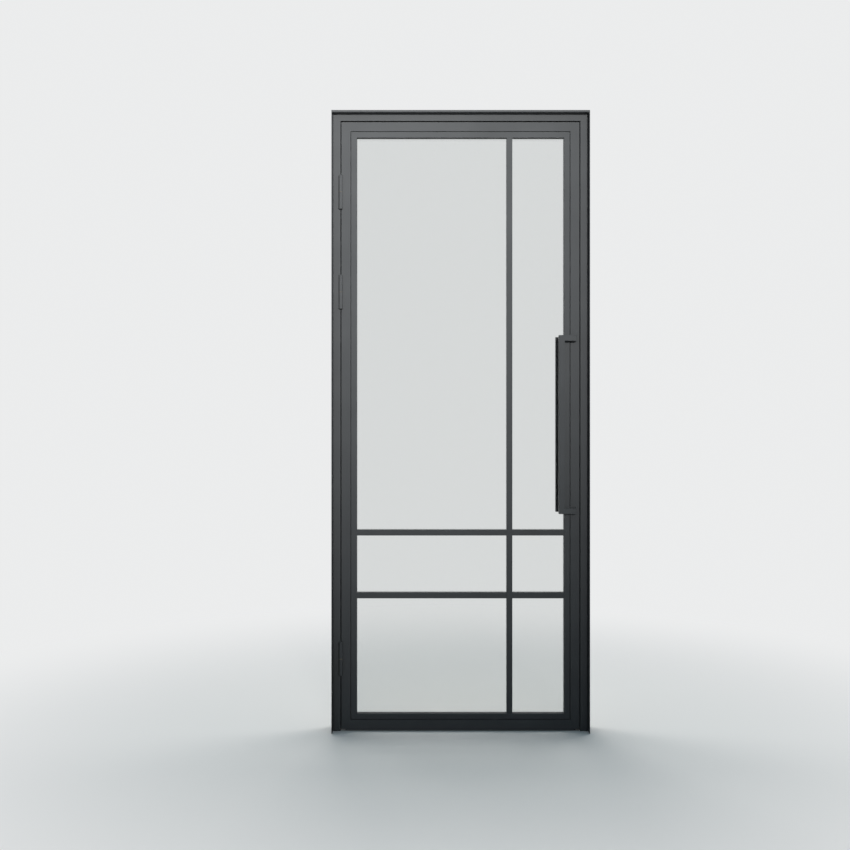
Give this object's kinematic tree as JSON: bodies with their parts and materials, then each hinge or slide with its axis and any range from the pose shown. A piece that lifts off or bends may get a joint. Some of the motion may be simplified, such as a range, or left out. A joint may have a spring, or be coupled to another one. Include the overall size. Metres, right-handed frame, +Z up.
{
  "type": "glazed swing door with frame",
  "caption": "Slim metal-framed glass door in a three-sided frame with reveal lining, divided by one upright and two level bars, on lift-off hinges, with long pull handles on both faces.",
  "frame": {"origin": "on the floor, midway between the jambs and halfway through the leaf, which is the bottom centre of the overall box", "axes": "+X across the opening towards the closing edge, +Y into the wall away from the viewer who pulls the door, +Z up"},
  "size_m": [0.894, 0.11, 2.156],
  "materials": {
    "powder_coat": "satin anthracite powder coat",
    "clear_glass": "clear float glass, faint green edge",
    "seal_rubber": "black extruded rubber",
    "glazing_tape": "black foam glazing tape",
    "washer_brass": "turned brass",
    "bright_steel": "turned steel",
    "zinc_steel": "zinc plated",
    "catch_steel": "nickel plated",
    "cleat_aluminium": "mill finish",
    "block_plastic": "hard plastic packer"
  },
  "bodies": {
    "frame": {"hinge_jamb": "powder_coat", "lock_jamb": "powder_coat", "frame_head": "powder_coat", "frame_cleats": "cleat_aluminium", "lining_left": "powder_coat", "lining_right": "powder_coat", "lining_head": "powder_coat", "seal_left": "seal_rubber", "seal_right": "seal_rubber", "seal_head": "seal_rubber", "hinge_frame_half_top": "powder_coat", "hinge_frame_half_middle": "powder_coat", "hinge_frame_half_bottom": "powder_coat", "hinge_pins": "bright_steel", "hinge_washers": "washer_brass", "frame_hinge_screws": "bright_steel", "frame_backing_plates": "zinc_steel", "catch_magnet": "catch_steel"},
    "leaf": {"hinge_stile": "powder_coat", "lock_stile": "powder_coat", "top_rail": "powder_coat", "bottom_rail": "powder_coat", "floor_strip": "powder_coat", "floor_lip": "seal_rubber", "floor_strip_screws": "zinc_steel", "leaf_cleats": "cleat_aluminium", "glass_pane": "clear_glass", "glazing_blocks": "block_plastic", "bead_left": "powder_coat", "bead_right": "powder_coat", "bead_top": "powder_coat", "bead_bottom": "powder_coat", "bead_clips": "zinc_steel", "front_mullion": "powder_coat", "front_transom_lower_left": "powder_coat", "front_transom_lower_right": "powder_coat", "front_transom_upper_left": "powder_coat", "front_transom_upper_right": "powder_coat", "rear_mullion": "powder_coat", "rear_transom_lower_left": "powder_coat", "rear_transom_lower_right": "powder_coat", "rear_transom_upper_left": "powder_coat", "rear_transom_upper_right": "powder_coat", "front_tape": "glazing_tape", "rear_tape": "glazing_tape", "hinge_leaf_half_top": "powder_coat", "hinge_leaf_half_middle": "powder_coat", "hinge_leaf_half_bottom": "powder_coat", "leaf_hinge_screws": "bright_steel", "leaf_backing_plates": "zinc_steel", "front_handle": "powder_coat", "rear_handle": "powder_coat", "handle_bolts": "zinc_steel", "handle_sleeves": "zinc_steel", "catch_keeper": "catch_steel"}
  },
  "joints": [
    {"name": "door_swing", "type": "hinge", "parent": "frame", "child": "leaf", "pos_m": [-0.4165, -0.026, 1], "axis": [0, 0, -1], "range_deg": [0, 140]}
  ]
}
